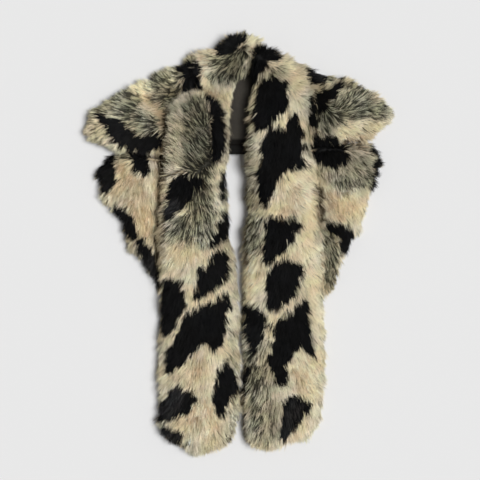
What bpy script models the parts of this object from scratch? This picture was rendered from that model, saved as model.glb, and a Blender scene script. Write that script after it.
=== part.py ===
"""A fur collar wrap laid flat, fur side up.

It is one long stole of deep pile fur with a shaped back. The back yoke lies face down on the surface, and
its dark lining shows in the neck. The nape collar is the fur turned over at the neck. The shoulders fold
forward from it, the two lapels spread out below them, and the two long lappets lie on top and hang down the
front. Every solid reaches as far as the tips of the pile.

Axes: +X across the wrap, +Y from the lappets' ends to the nape, +Z up. The origin is the middle of the
surface that it lies on. The tables are in millimetres: X from a line through the neck, and Y from a line
just beyond the longer lappet's end.
"""

import math
from collections import namedtuple

import bmesh
import bpy

MM = 0.001

# Whole wrap
NECK_LINE = -4.0  # X of the line that the tables' X is counted from
END_LINE = -427.5  # Y of the line that the tables' Y is counted from
LENGTH = 848.0  # the greatest Y of the tables
SEAM = 0.3  # air between two pieces
STATION_STEP = 15.0  # distance between two sections of a piece

# Back yoke and what is sewn on it
YOKE_THICK = 14.0
LINING_THICK = 1.5
HEM_WIDTH = 18.0
YOKE_ROLL = 3.0  # how far its pile rolls under at the edges
CLOTH_ROLL = 0.4

# Layers that the lappets lie on
STACK_HIGH = 28.0
Stack = namedtuple("Stack", "along high")
STACK = [
    Stack(0, 0),
    Stack(296, 0),
    Stack(306, 3),
    Stack(340, 9),
    Stack(380, 18),
    Stack(420, 25),
    Stack(460, STACK_HIGH),
    Stack(LENGTH, STACK_HIGH),
]
SAG = 0.8  # how far a lappet's inner edge hangs down beside the stack, as a share of its height
SAG_WIDE = 46.0  # width of the part that hangs
SAG_FROM = 592.0  # Y where it starts, below the back
SAG_FULL = 556.0
VALLEY = 14.0  # the flat strip of a lower piece beside a lappet
BANK = 1.0  # how steeply the lower piece rises from that strip

# Cross-sections
EDGE_SHARE = 0.36  # height of a rolled edge, as a share of the piece's rise
DOME = 2.6  # 2 is an ellipse, more is flatter on top
ROLL = 9.0  # how far the underside is set in from the edge
UNDER_POINTS = 5
END_ROUND = 46.0  # length over which a free end rounds down
END_LEAST = 0.3  # the rise left at the very end, as a share
SEAM_LEAST = 0.62  # the same where two pieces are sewn together

LAPPET_RISE = 46.0
SHOULDER_RISE = 45.0
LAPEL_RISE = 37.0
NAPE_RISE = 46.0

# A section across a piece that runs along Y: its two edges.
Strip = namedtuple("Strip", "along left right")
# A section across a piece that runs along X: its two edges.
Wing = namedtuple("Wing", "across lower upper")
# A soft trough in a piece's top: its two ends, its depth and its half width.
Fold = namedtuple("Fold", "x1 y1 x2 y2 deep wide")

BACK_YOKE = [
    Wing(-82.7, 608.3, 798),
    Wing(-76, 605, 800),
    Wing(-62, 603.5, 805),
    Wing(-40, 603, 811),
    Wing(-18, 603, 829),
    Wing(4, 603, 839),
    Wing(24, 603, 833),
    Wing(41.7, 603, 820),
]
LAPPET_LEFT = [
    Strip(9, -92, -62),
    Strip(13, -101, -42),
    Strip(19, -110, -30),
    Strip(28, -123, -20),
    Strip(38, -141, -12),
    Strip(52, -153, -5),
    Strip(66, -157, 2),
    Strip(84, -159, 6),
    Strip(112, -160, 7),
    Strip(192, -161, 6),
    Strip(262, -159, 5),
    Strip(312, -156, 5),
    Strip(352, -155, 3),
    Strip(412, -158, -3),
    Strip(442, -159, -14),
    Strip(482, -155, -18),
    Strip(514, -151, -16),
    Strip(534, -150, -16),
    Strip(550, -149, -21),
    Strip(566, -149, -22),
    Strip(584, -147, -19),
    Strip(602, -145, -16),
    Strip(632, -141, -15),
    Strip(662, -139, -18),
    Strip(682, -136, -23),
    Strip(698, -130, -32),
    Strip(710, -121, -44),
    Strip(719, -109, -59),
    Strip(724, -94, -76),
]
LAPPET_RIGHT = [
    Strip(14, 46, 70),
    Strip(20, 36, 81),
    Strip(25, 25, 92),
    Strip(30, 20, 108),
    Strip(35, 16, 132),
    Strip(42, 13, 149),
    Strip(58, 10, 163),
    Strip(82, 9.5, 170),
    Strip(132, 9.5, 174),
    Strip(212, 9.5, 177),
    Strip(272, 9, 177),
    Strip(372, 9, 171),
    Strip(440, 11, 167),
    Strip(482, 15, 164),
    Strip(552, 17, 157),
    Strip(632, 18, 149),
    Strip(672, 20, 145),
    Strip(712, 23, 141),
    Strip(762, 24, 137),
    Strip(782, 24, 130),
    Strip(796, 25, 109),
    Strip(805, 27, 88),
    Strip(814, 32, 71),
    Strip(821, 41, 58),
]
LAPEL_LEFT = [
    Strip(320, -141, -106),
    Strip(332, -152, -98),
    Strip(348, -164, -92),
    Strip(368, -175, -90),
    Strip(388, -186, -90),
    Strip(408, -200, -90),
    Strip(428, -223, -90),
    Strip(448, -228, -90),
    Strip(468, -231, -90),
    Strip(484, -236, -90),
    Strip(500, -257, -90),
    Strip(516, -271, -90),
    Strip(532, -274, -90),
    Strip(550, -275, -90),
    Strip(566, -281, -90),
    Strip(580, -279, -90),
    Strip(592, -271, -90),
    Strip(602, -261, -90),
    Strip(608, -250, -90),
]
LAPEL_RIGHT = [
    Strip(306, 96, 158),
    Strip(318, 87, 173),
    Strip(334, 83, 187),
    Strip(350, 81, 196),
    Strip(366, 80, 201),
    Strip(382, 80, 207),
    Strip(398, 80, 213),
    Strip(414, 80, 223),
    Strip(430, 80, 231),
    Strip(446, 80, 243),
    Strip(462, 80, 250),
    Strip(480, 80, 254),
    Strip(496, 80, 261),
    Strip(512, 80, 266),
    Strip(528, 80, 266),
    Strip(544, 80, 271),
    Strip(560, 80, 281),
    Strip(576, 80, 286),
    Strip(592, 80, 287),
    Strip(606, 80, 285),
    Strip(618, 80, 279),
    Strip(628, 80, 268),
]
SHOULDER_LEFT = [
    Wing(-301, 650, 668),
    Wing(-299, 645, 676),
    Wing(-295, 639, 683),
    Wing(-289, 632, 691),
    Wing(-280, 627, 699),
    Wing(-270, 623, 707),
    Wing(-258, 619, 715),
    Wing(-245, 616, 724),
    Wing(-225, 613, 735),
    Wing(-205, 611, 746),
    Wing(-185, 609, 755),
    Wing(-165, 608.3, 767),
    Wing(-145, 608.3, 777),
    Wing(-125, 608.3, 783),
    Wing(-105, 608.3, 789),
    Wing(-83, 608.3, 806),
]
SHOULDER_RIGHT = [
    Wing(42, 628.3, 809),
    Wing(70, 628.3, 805),
    Wing(100, 628.3, 800),
    Wing(120, 628.3, 793),
    Wing(136, 628.3, 784),
    Wing(149, 628.3, 777),
    Wing(165, 628.3, 771),
    Wing(185, 628.3, 765),
    Wing(205, 628.3, 759),
    Wing(225, 629, 752),
    Wing(245, 632, 743),
    Wing(261, 638, 734),
    Wing(275, 646, 726),
    Wing(287, 655, 718),
    Wing(297, 664, 709),
    Wing(304, 671, 700),
    Wing(309, 677, 690),
]
NAPE = [
    Wing(-82.7, 608.3, 806),
    Wing(-65, 607, 814),
    Wing(-45, 605, 817),
    Wing(-36, 604, 822),
    Wing(-30, 605, 828),
    Wing(-25, 613, 835),
    Wing(-20, 650, 841),
    Wing(-15, 700, 844),
    Wing(-9, 732, 845),
    Wing(-2, 750, 846),
    Wing(8, 759, 845),
    Wing(20, 769, 842),
    Wing(32, 782, 836),
    Wing(41.7, 795, 829),
]

SHOULDER_LEFT_FOLDS = [
    Fold(-255, 640, -190, 628, 7, 14),
    Fold(-168, 760, -158, 640, 6, 12),
    Fold(-250, 700, -215, 668, 4, 13),
]
SHOULDER_RIGHT_FOLDS = [
    Fold(150, 770, 158, 660, 8, 12),
    Fold(205, 735, 228, 690, 6, 14),
    Fold(270, 652, 215, 640, 7, 14),
]
LAPEL_LEFT_FOLDS = [
    Fold(-250, 600, -205, 520, 6, 13),
    Fold(-190, 590, -180, 430, 5, 12),
]
LAPEL_RIGHT_FOLDS = [
    Fold(262, 600, 225, 520, 5, 13),
    Fold(195, 610, 188, 440, 6, 12),
]
LAPPET_LEFT_FOLDS = [
    Fold(-150, 560, -20, 575, 5, 13),
    Fold(-155, 432, -15, 448, 5, 13),
    Fold(-150, 250, 0, 262, 3, 16),
]
LAPPET_RIGHT_FOLDS = [
    Fold(15, 742, 138, 716, 4, 14),
    Fold(12, 498, 160, 520, 3, 16),
    Fold(12, 300, 168, 282, 3, 16),
]

# Name, base colour (linear), roughness
Look = namedtuple("Look", "name colour rough")
FUR = Look("fur", (0.56, 0.46, 0.31, 1.0), 0.85)
LINING = Look("lining", (0.035, 0.033, 0.038, 1.0), 0.5)
HEM_TAPE = Look("hem_tape", (0.012, 0.012, 0.014, 1.0), 0.6)


def clear_scene():
    for obj in list(bpy.data.objects):
        bpy.data.objects.remove(obj)


def material_of(look):
    """The Principled material of a look, made once."""
    found = bpy.data.materials.get(look.name)
    if found:
        return found
    made = bpy.data.materials.new(look.name)
    made.use_nodes = True
    shader = made.node_tree.nodes["Principled BSDF"]
    shader.inputs["Base Color"].default_value = look.colour
    shader.inputs["Roughness"].default_value = look.rough
    shader.inputs["Metallic"].default_value = 0.0
    return made


def slope_at(rows, index, column):
    before, after = rows[max(index - 1, 0)], rows[min(index + 1, len(rows) - 1)]
    return (after[column] - before[column]) / (after[0] - before[0])


def smooth_at(rows, place):
    """The columns of a table at a place along its first one, on a smooth curve through its rows."""
    place = min(max(place, rows[0][0]), rows[-1][0])
    index = max(i for i in range(len(rows) - 1) if rows[i][0] <= place)
    start, end = rows[index], rows[index + 1]
    span = end[0] - start[0]
    t = (place - start[0]) / span
    found = []
    for column in range(1, len(start)):
        value = (2 * t**3 - 3 * t**2 + 1) * start[column]
        value += (t**3 - 2 * t**2 + t) * span * slope_at(rows, index, column)
        value += (3 * t**2 - 2 * t**3) * end[column]
        value += (t**3 - t**2) * span * slope_at(rows, index + 1, column)
        found.append(value)
    return found


def stack_at(along):
    """Height of the layers under the lappets, by straight lines between the rows of STACK."""
    for low, high in zip(STACK, STACK[1:]):
        if along <= high.along:
            share = (along - low.along) / (high.along - low.along)
            return low.high + share * (high.high - low.high)
    return STACK[-1].high


def stations(rows, always=()):
    """Places for sections: every row of the table, the places that are always kept, and even steps between."""
    kept = sorted({row[0] for row in rows} | {p for p in always if rows[0][0] < p < rows[-1][0]})
    places = [kept[0]]
    for start, end in zip(kept, kept[1:]):
        steps = max(1, round((end - start) / STATION_STEP))
        places += [start + (end - start) * k / steps for k in range(1, steps + 1)]
    return places


def beyond(lappet, x, y):
    """How far a point is outside a lappet's plan, and 0 under it."""
    found = math.inf
    for along in stations(lappet):
        left, right = smooth_at(lappet, along)
        found = min(found, math.hypot(max(left - x, 0.0, x - right), along - y))
    return found if found > STATION_STEP / 2 else 0.0


def trough(folds, x, y):
    """How deep the folds lie at a point."""
    deep = 0.0
    for fold in folds:
        dx, dy = fold.x2 - fold.x1, fold.y2 - fold.y1
        share = ((x - fold.x1) * dx + (y - fold.y1) * dy) / (dx * dx + dy * dy)
        share = min(max(share, 0.0), 1.0)
        away = math.hypot(x - fold.x1 - share * dx, y - fold.y1 - share * dy)
        fade = math.sin(math.pi * (0.15 + 0.7 * share))
        deep += fold.deep * fade * math.exp(-((away / fold.wide) ** 2))
    return deep


def end_share(distance, least=END_LEAST):
    """How much of its rise a piece has at a distance from its end."""
    part = min(distance / END_ROUND, 1.0)
    return least + (1 - least) * math.sqrt(1 - (1 - part) ** 2)


def dome(u, base, rise):
    """Height over a section, from -1 at one edge to 1 at the other."""
    bulge = max(1 - abs(u) ** DOME, 0.0) ** 0.5
    return base + rise * (EDGE_SHARE + (1 - EDGE_SHARE) * bulge)


def section(low, high, base, top, points):
    """A closed section as (place, height): the underside, then the top from the low edge to the high one."""
    middle, half = (low + high) / 2, (high - low) / 2
    roll = min(ROLL, 0.4 * half)
    ring = []
    for k in range(UNDER_POINTS):
        share = k / (UNDER_POINTS - 1)
        place = high - roll - share * (high - low - 2 * roll)
        ring.append((place, base(place)))
    for k in range(points):
        u = -math.cos(math.pi * k / (points - 1))
        u = 0.55 * u + 0.45 * (2 * k / (points - 1) - 1)
        place = middle + half * u
        ring.append((place, top(place, u)))
    return ring


def solid(name, rings, look, inside_out):
    """One closed object from sections of equally many points, with flat ends."""
    mesh = bpy.data.meshes.new(name)
    form = bmesh.new()
    made = [[form.verts.new([c * MM for c in point]) for point in ring] for ring in rings]
    count = len(made[0])
    for first, second in zip(made, made[1:]):
        for k in range(count):
            after = (k + 1) % count
            form.faces.new((first[k], first[after], second[after], second[k]))
    form.faces.new(list(reversed(made[0])))
    form.faces.new(made[-1])
    if inside_out:
        bmesh.ops.reverse_faces(form, faces=form.faces)
    form.to_mesh(mesh)
    form.free()
    mesh.shade_smooth()
    mesh.set_sharp_from_angle(angle=math.radians(50))
    mesh.materials.append(material_of(look))
    obj = bpy.data.objects.new(name, mesh)
    obj.location = (NECK_LINE * MM, END_LINE * MM, 0.0)
    bpy.context.scene.collection.objects.link(obj)
    return obj


def lappet(name, rows, folds, inner):
    """A long strip of fur, double, that lies on the layers under it and then on the surface.

    Inner is 1 if its edge beside the other lappet is the right one, and -1 if it is the left one. That edge
    hangs down beside the stack.
    """
    rings = []
    low_end, high_end = rows[0].along, rows[-1].along
    for along in stations(rows, [row.along for row in STACK] + [SAG_FULL, SAG_FROM]):
        left, right = smooth_at(rows, along)
        stack = stack_at(along)
        sag = SAG * min(max((SAG_FROM - along) / (SAG_FROM - SAG_FULL), 0.0), 1.0)
        rise = LAPPET_RISE * end_share(min(along - low_end, high_end - along))

        def base(x):
            away = right - x if inner > 0 else x - left
            share = sag * max(1 - away / SAG_WIDE, 0.0)
            return stack * (1 - share) + SEAM if stack else 0.0

        def top(x, u):
            return dome(u, base(x), rise) - min(trough(folds, x, along), 0.3 * rise)

        ring = section(left, right, base, top, 15)
        rings.append([(x, along, z) for x, z in ring])
    solid(name, rings, FUR, False)


def under_lappet(height, high_lappet, x, y):
    """The height of a lower piece, pressed down to the stack where a lappet lies on it."""
    bank = BANK * max(beyond(high_lappet, x, y) - VALLEY, 0.0)
    return min(height, stack_at(y) + bank)


def lapel(name, rows, on_top, folds):
    """The panel that spreads out beside a lappet and runs on under it."""
    rings = []
    low_end, high_end = rows[0].along, rows[-1].along
    for along in stations(rows, [row.along for row in STACK]):
        left, right = smooth_at(rows, along)
        end = end_share(2 * (high_end - along), SEAM_LEAST) * end_share(1.5 * (along - low_end))

        def top(x, u):
            height = dome(u, 0.0, LAPEL_RISE * end) - trough(folds, x, along)
            return max(under_lappet(height, on_top, x, along), 0.1 * stack_at(along) + 2.0)

        ring = section(left, right, lambda x: 0.0, top, 20)
        rings.append([(x, along, z) for x, z in ring])
    solid(name, rings, FUR, False)


def shoulder(name, rows, on_top, folds):
    """A shoulder: the fur that folds forward from the back along its sloping upper edge."""
    rings = []
    free_end = max(abs(rows[0].across), abs(rows[-1].across))
    for across in stations(rows):
        lower, upper = smooth_at(rows, across)
        end = end_share(free_end - abs(across))

        def top(y, u):
            height = dome(u, 0.0, SHOULDER_RISE * end) - trough(folds, across, y)
            return under_lappet(height, on_top, across, y)

        ring = section(lower, upper, lambda y: 0.0, top, 20)
        rings.append([(across, y, z) for y, z in ring])
    solid(name, rings, FUR, True)


def nape_collar():
    """The fur turned over at the nape, with its narrow end down the neck's edge."""
    base = YOKE_THICK + LINING_THICK + 2 * SEAM
    rings = []
    for across in stations(NAPE):
        lower, upper = smooth_at(NAPE, across)
        narrow = min((upper - lower) / 90.0, 1.0)
        rise = (NAPE_RISE - base) * (0.5 + 0.5 * narrow)

        def top(y, u):
            height = dome(u, base, rise)
            height = under_lappet(height, LAPPET_LEFT, across, y)
            return under_lappet(height, LAPPET_RIGHT, across, y)

        ring = section(lower, upper, lambda y: base, top, 24)
        rings.append([(across, y, z) for y, z in ring])
    solid("nape_collar", rings, FUR, True)


def plate(name, rows, low, thick, look, roll):
    """A flat piece of cloth with edges that roll under."""
    rings = []
    for across in stations(rows):
        y1, y2 = smooth_at(rows, across)
        ring = [
            (y2 - roll, low),
            (y1 + roll, low),
            (y1, low + 0.35 * thick),
            (y1 + 0.3 * roll, low + 0.8 * thick),
            (y1 + roll, low + thick),
            (y2 - roll, low + thick),
            (y2 - 0.3 * roll, low + 0.8 * thick),
            (y2, low + 0.35 * thick),
        ]
        rings.append([(across, y, z) for y, z in ring])
    solid(name, rings, look, True)


def back():
    """The back yoke, face down, with its hem tape and its lining on top, made from the yoke's edges."""
    plate("back_yoke", BACK_YOKE, 0.0, YOKE_THICK, FUR, YOKE_ROLL)
    side = (BACK_YOKE[-1].across - 1.0) / BACK_YOKE[-1].across
    tape = []
    cloth = []
    for row in BACK_YOKE:
        start = row.lower + YOKE_ROLL
        tape.append(Wing(row.across * side, start, start + HEM_WIDTH))
        cloth.append(Wing(row.across * side, start + HEM_WIDTH + SEAM, row.upper - 2 * YOKE_ROLL))
    plate("hem_tape", tape, YOKE_THICK + SEAM, LINING_THICK, HEM_TAPE, CLOTH_ROLL)
    plate("lining", cloth, YOKE_THICK + SEAM, LINING_THICK, LINING, CLOTH_ROLL)


def main():
    clear_scene()
    back()
    nape_collar()
    shoulder("shoulder_left", SHOULDER_LEFT, LAPPET_LEFT, SHOULDER_LEFT_FOLDS)
    shoulder("shoulder_right", SHOULDER_RIGHT, LAPPET_RIGHT, SHOULDER_RIGHT_FOLDS)
    lapel("lapel_left", LAPEL_LEFT, LAPPET_LEFT, LAPEL_LEFT_FOLDS)
    lapel("lapel_right", LAPEL_RIGHT, LAPPET_RIGHT, LAPEL_RIGHT_FOLDS)
    lappet("lappet_left", LAPPET_LEFT, LAPPET_LEFT_FOLDS, 1)
    lappet("lappet_right", LAPPET_RIGHT, LAPPET_RIGHT_FOLDS, -1)


main()
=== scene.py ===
"""The looks of a fur collar wrap that lies flat, fur side up, with its lining showing in the neck.

Every fur solid of the frame gets a pelt, a thin shell a pile's depth inside it, and a joined mesh of
strands that grow from the pelt in wisps, along the nap. Places on the wrap are in view units of 2 mm, as in
a 480 x 480 view from above: x to the right and y down from its top left corner.
"""

import math
from collections import namedtuple

import bmesh
import bpy
import numpy as np
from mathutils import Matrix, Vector
from mathutils.bvhtree import BVHTree


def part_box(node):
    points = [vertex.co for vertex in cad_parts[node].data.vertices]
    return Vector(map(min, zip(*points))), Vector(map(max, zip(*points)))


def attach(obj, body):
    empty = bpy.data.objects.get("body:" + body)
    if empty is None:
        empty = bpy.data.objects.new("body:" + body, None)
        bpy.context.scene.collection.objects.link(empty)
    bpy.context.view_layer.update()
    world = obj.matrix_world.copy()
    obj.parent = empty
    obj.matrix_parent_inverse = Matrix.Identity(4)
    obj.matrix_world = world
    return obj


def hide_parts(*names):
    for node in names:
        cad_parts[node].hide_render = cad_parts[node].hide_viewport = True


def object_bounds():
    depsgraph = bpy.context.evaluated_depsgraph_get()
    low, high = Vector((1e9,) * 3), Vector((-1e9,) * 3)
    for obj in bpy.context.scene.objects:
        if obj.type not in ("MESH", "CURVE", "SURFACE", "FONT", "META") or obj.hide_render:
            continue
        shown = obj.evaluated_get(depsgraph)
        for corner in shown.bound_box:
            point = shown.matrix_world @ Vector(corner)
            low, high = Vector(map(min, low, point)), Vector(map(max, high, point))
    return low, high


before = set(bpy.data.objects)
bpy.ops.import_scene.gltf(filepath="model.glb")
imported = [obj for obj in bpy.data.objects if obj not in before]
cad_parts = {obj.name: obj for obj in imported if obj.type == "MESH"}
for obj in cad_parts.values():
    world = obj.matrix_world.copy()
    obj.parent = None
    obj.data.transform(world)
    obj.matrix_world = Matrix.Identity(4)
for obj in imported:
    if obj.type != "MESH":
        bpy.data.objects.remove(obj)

CAD_LOW, CAD_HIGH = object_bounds()
MM = 0.001

# The view from above, the light and the floor
VIEW_UNIT = 2 * MM
VIEW_MIDDLE = (239.5, 243.25)  # where the frame's origin is in view units
VIEW_SIZE = 480
CAMERA_HIGH = 3.6
AIM_HIGH = 0.03  # the height at which a view unit is VIEW_UNIT wide
SENSOR_WIDE = 36.0
SUN = 2.88
SUN_ROUND = math.radians(28)
SUN_FROM = Vector((0.43, 0.0, 1.0))
SKY = 0.17
PAPER = (0.80, 0.80, 0.80, 1.0)
FLOOR_WIDE = 9.0
FLOOR_LOW = 0.5 * MM  # below the wrap's underside

# Waves over the coat and the cloth: how wide each is, and its seed
SEED = 20
DEPTH_WAVE = (45 * MM, SEED)
EDGE_WAVE = (9.0, SEED + 1)  # of the markings, in view units
TURN_WAVE = (34 * MM, SEED + 2)
LIFT_WAVE = (26 * MM, SEED + 3)
LONG_WAVE = (40 * MM, SEED + 4)
LIGHT_WAVE = (30 * MM, SEED + 5)
WARM_WAVE = (55 * MM, SEED + 6)
TINT_WAVE = (22 * MM, SEED + 7)
TUFT_LONG_WAVE = (11 * MM, SEED + 8)
TUFT_TURN_WAVE = (11 * MM, SEED + 9)
TROUGH_WAVE = (26 * MM, SEED + 7)

# Pelt
PILE_DEEP = 10.5 * MM  # from the pelt to the solid's surface
PILE_SHARE = 0.36  # and at most this share of the solid's depth
DEEPEST = 50 * MM  # the solid's depth where none is found
PELT_THICK = 1.6 * MM
PELT_VOXEL = 8.0 * MM
YOKE_VOXEL = 5.6 * MM
PELT_REST = 0.6 * MM  # from the pelt to the surface where it rests
INNER_REST = 0.1 * MM

# Wisps
WISP_APART = 1.8 * MM
WISP_ROUND = 0.9 * MM  # and less where the coat is grey or striped
NAP_NEAR = 60.0  # how evenly the naps of places blend, in square view units
NAP_FIRM = 0.55  # how well the naps around a place agree where it lies firmly
WALL_TURN = 1.7  # how strongly a wall turns the nap outward
TURN, TUFT_TURN, TURN_SPREAD = 0.16, 0.16, 0.10
LIFT, LIFT_WAVES, LIFT_SPREAD, LIFT_LEAST = 0.16, 0.07, 0.05, 0.04
LEAN_EARLY, EARLY_SPREAD = 0.60, 0.07
TUFT_LONG = 0.16  # how much longer than the rest a tuft's wisps are
STRAY_SHARE = 0.05  # of all wisps: longer than the rest by STRAY_LONG
STRAY_LONG = 1.25
UNDER_EDGE = 9.0 * MM  # how far under a piece's edge the next piece still has wisps
YOKE_SHOWS = 52  # the view's y down to which the back yoke's fur shows
FACES_UP = 0.3  # a normal's z above which wisps look for the sky from UNDER_EDGE away
FACES_DOWN = -0.55  # and below which they see none
RAY_START = 2.5 * MM
RAY_LONG = 0.5
# The tilt and the turn of the rays that look for the sky
RAYS = [(0.0, 0.0)]
RAYS += [(0.6, turn) for turn in np.arange(4) * 1.571]
RAYS += [(1.1, turn) for turn in np.arange(8) * 0.785]

# Strands
STRAND_LONG = 24.0 * MM
STRAND_WIDE = 0.85 * MM
STRAND_ROOT = 1.2 * MM  # how far below the pelt's surface a strand starts
LONG_RANGE = (0.88, 1.04)
WIDE_RANGE = (0.75, 1.25)
MIDDLE_AT, TIP_AT = 0.45, 0.58  # shares of a strand's length: root to middle, and middle to tip
OWN_SPREAD = 0.075  # how far a strand strays from its wisp
TWIST = 0.35
PROUD = (11 * MM, 14 * MM, 9 * MM)  # how far strands may stand out of the solids' box
FLOOR_CLEAR = 0.8 * MM
FLOOR_SPREAD = 1.5 * MM

# Markings
BLACK_GROWS = 1.3  # how far past its strokes a black marking reaches
LIGHT_SHARE = 0.20  # of the wisps where the coat is grey: the long ones
TIPPED_BELOW, BROWN_ABOVE, SMOKE_ABOVE = 0.26, 0.78, 0.89  # the draws of the wisps where it is striped
FRINGE_SHARE = 0.35  # of the wisps at the rim of a black marking: brown
FADED_SHARE = 0.6  # of the wisps where black is mixed with grey

# How light the coat is, with painted shade where a wisp sees little sky
# Painted shade: a wisp that sees little sky keeps only SHADED of its colour
SHADED = 0.30  # a wisp that sees little sky
SHADE_TINT = (0.93, 1.0, 1.15)  # the powers that make shade warmer
ROOT_DARK, MIDDLE_DARK = 0.70, 0.35  # how much darker the gathered wisps are there
STREAK, STREAK_UNEVEN = 0.055, 0.12  # from wisp to wisp, and what UNEVEN places add
DARKEST = 0.002

# Cloth
CLOTH_THICK = 1.1 * MM
CLOTH_SINK = 0.1 * MM
CLOTH_COLUMNS, CLOTH_ROWS = 40, 56
CLOTH_GLOSS = 0.05
TROUGH_RIM = 6 * MM  # how far from its sides a cloth's troughs are full
HEM_FULL, HEM_NONE = 140, 137.5  # the view's y at which the painted shadow of the hem tape on the lining is full, and where it starts
HEM_SHADOW = 0.18  # what is left of the lining's colour there

Look = namedtuple("Look", "root middle tip")
CREAM = Look((0.50, 0.41, 0.27), (0.84, 0.74, 0.52), (0.94, 0.86, 0.63))
TAN = Look((0.26, 0.18, 0.10), (0.66, 0.52, 0.33), (0.85, 0.73, 0.51))
BLACK = Look((0.003, 0.003, 0.003), (0.0036, 0.0036, 0.0037), (0.006, 0.006, 0.0062))
BROWN = Look((0.02, 0.015, 0.010), (0.09, 0.07, 0.042), (0.16, 0.13, 0.085))
TIPPED = Look((0.02, 0.018, 0.012), (0.30, 0.277, 0.18), (0.75, 0.71, 0.49))
SMOKE = Look((0.010, 0.009, 0.007), (0.035, 0.033, 0.023), (0.10, 0.095, 0.066))
CHARCOAL = Look((0.006, 0.006, 0.006), (0.020, 0.019, 0.019), (0.050, 0.048, 0.047))
LOOKS = np.array([CREAM, TAN, BLACK, BROWN, TIPPED, SMOKE, CHARCOAL])
AS_CREAM, AS_TAN, AS_BLACK, AS_BROWN, AS_TIPPED, AS_SMOKE, AS_CHARCOAL = range(len(LOOKS))

# A tapered stroke of a marking: two ends and the radius at each
Stroke = namedtuple("Stroke", "x1 y1 r1 x2 y2 r2")
# A place where the coat is lighter or darker than elsewhere, or warmer, as a stroke; some are painted shade
Shade = namedtuple("Shade", "x1 y1 r1 x2 y2 r2 gain warm", defaults=(0.0,))
# Which way the nap runs at a place: y counts down the view
Nap = namedtuple("Nap", "x y dx dy")
# A node of fur: how many strands it has, its markings by kind, its nap, and its pelt's flat size. Some
# brown and tan strokes are painted shade in valleys and seams.
Piece = namedtuple("Piece", "node strands black grey striped tan brown nap cut")
# A piece's wisps: their roots, the pelt's normals there, how much sky they see, how they start, how they
# end, how long they are, and their ranks
Wisps = namedtuple("Wisps", "where out share early late long rank")

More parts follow.
